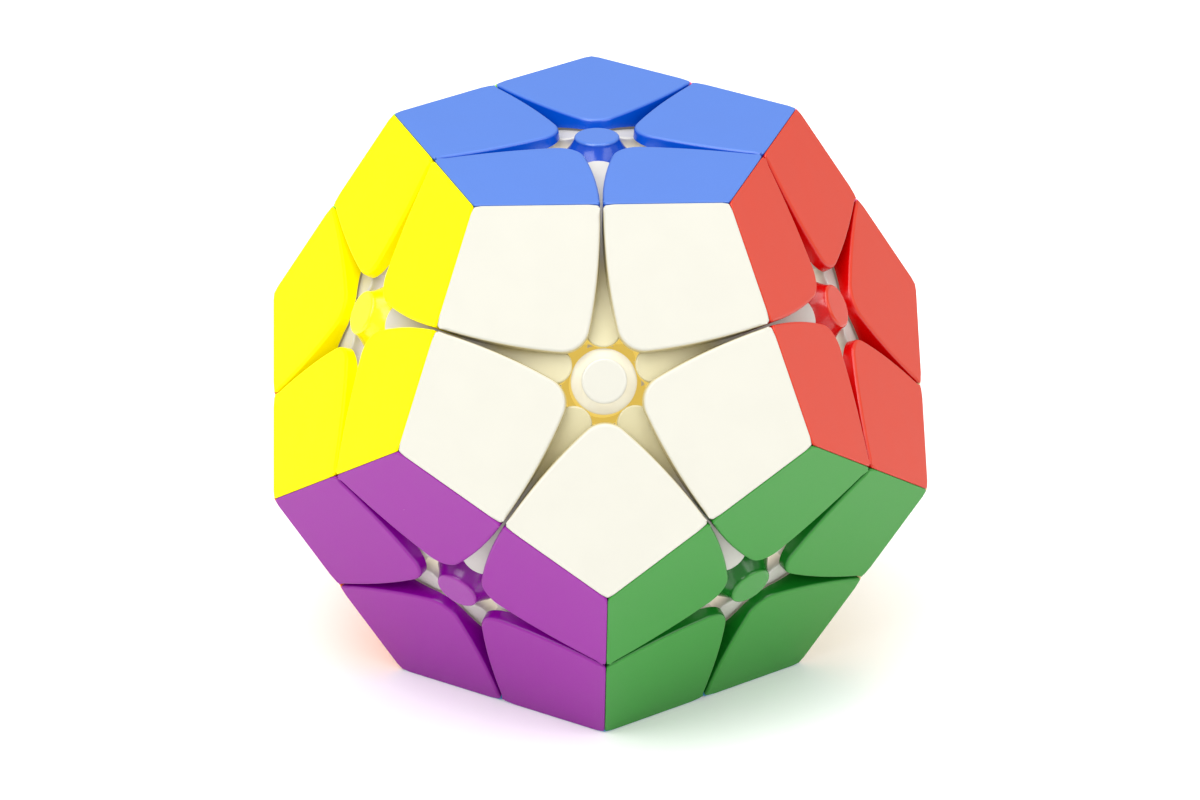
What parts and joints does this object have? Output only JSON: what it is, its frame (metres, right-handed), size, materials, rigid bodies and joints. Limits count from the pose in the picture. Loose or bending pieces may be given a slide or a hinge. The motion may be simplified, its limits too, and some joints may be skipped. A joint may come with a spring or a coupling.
{
  "type": "dodecahedron twisty puzzle",
  "caption": "Two-layer dodecahedron twisty puzzle: kite-shaped coloured corner tiles around a round cap on each face, over hidden edge pieces and a sprung core.",
  "frame": {"origin": "middle of the core, which is the centre of the solid", "axes": "+Z out of the blue face, -Z out of the sky blue face that it rests on, -Y towards the white face, +X to the red side"},
  "size_m": [0.087, 0.0914, 0.074],
  "materials": {
    "blue_plastic": "satin top faces, glossy side walls",
    "white_plastic": "satin top faces, glossy side walls",
    "red_plastic": "satin top faces, glossy side walls",
    "pink_plastic": "satin top faces, glossy side walls",
    "lime_plastic": "satin top faces, glossy side walls",
    "yellow_plastic": "satin top faces, glossy side walls",
    "grey_plastic": "satin top faces, glossy side walls",
    "orange_plastic": "satin top faces, glossy side walls",
    "purple_plastic": "satin top faces, glossy side walls",
    "green_plastic": "satin top faces, glossy side walls",
    "cream_plastic": "satin top faces, glossy side walls",
    "sky_plastic": "satin top faces, glossy side walls",
    "inner_plastic": "smooth moulded, slightly glossy",
    "core_plastic": "moulded, matte",
    "steel": "bright zinc plated"
  },
  "bodies": {
    "root": {"core": "core_plastic", "centre_screws": "steel", "spring_washers": "steel", "centre_springs": "steel", "centre_turrets": "inner_plastic", "edge_pieces": "inner_plastic", "corner_stems": "inner_plastic", "blue_cap": "blue_plastic", "white_cap": "white_plastic", "pink_cap": "pink_plastic", "lime_cap": "lime_plastic", "grey_cap": "grey_plastic", "orange_cap": "orange_plastic", "purple_cap": "purple_plastic", "green_cap": "green_plastic", "cream_cap": "cream_plastic", "blue_tiles": "blue_plastic", "white_tiles": "white_plastic", "pink_tiles": "pink_plastic", "lime_tiles": "lime_plastic", "green_tiles": "green_plastic", "purple_tiles": "purple_plastic", "cream_tiles": "cream_plastic", "orange_tiles": "orange_plastic", "grey_tiles": "grey_plastic"},
    "red_layer": {"red_layer_turret": "inner_plastic", "red_layer_edges": "inner_plastic", "red_layer_stems": "inner_plastic", "red_cap": "red_plastic", "red_layer_red_tiles": "red_plastic", "red_layer_blue_tiles": "blue_plastic", "red_layer_white_tiles": "white_plastic", "red_layer_pink_tiles": "pink_plastic", "red_layer_green_tiles": "green_plastic", "red_layer_cream_tiles": "cream_plastic"},
    "yellow_layer": {"yellow_layer_turret": "inner_plastic", "yellow_layer_edges": "inner_plastic", "yellow_layer_stems": "inner_plastic", "yellow_cap": "yellow_plastic", "yellow_layer_yellow_tiles": "yellow_plastic", "yellow_layer_blue_tiles": "blue_plastic", "yellow_layer_white_tiles": "white_plastic", "yellow_layer_lime_tiles": "lime_plastic", "yellow_layer_purple_tiles": "purple_plastic", "yellow_layer_orange_tiles": "orange_plastic"},
    "base_layer": {"base_layer_turret": "inner_plastic", "base_layer_edges": "inner_plastic", "base_layer_stems": "inner_plastic", "sky_cap": "sky_plastic", "base_layer_sky_tiles": "sky_plastic", "base_layer_purple_tiles": "purple_plastic", "base_layer_green_tiles": "green_plastic", "base_layer_cream_tiles": "cream_plastic", "base_layer_grey_tiles": "grey_plastic", "base_layer_orange_tiles": "orange_plastic"}
  },
  "joints": [
    {"name": "red_face_turn", "type": "hinge", "parent": "root", "child": "red_layer", "pos_m": [0, 0, 0], "axis": [0.8507, -0.2764, 0.4472], "continuous": true},
    {"name": "yellow_face_turn", "type": "hinge", "parent": "root", "child": "yellow_layer", "pos_m": [0, 0, 0], "axis": [-0.8507, -0.2764, 0.4472], "continuous": true},
    {"name": "base_face_turn", "type": "hinge", "parent": "root", "child": "base_layer", "pos_m": [0, 0, 0], "axis": [0, 0, -1], "continuous": true}
  ]
}
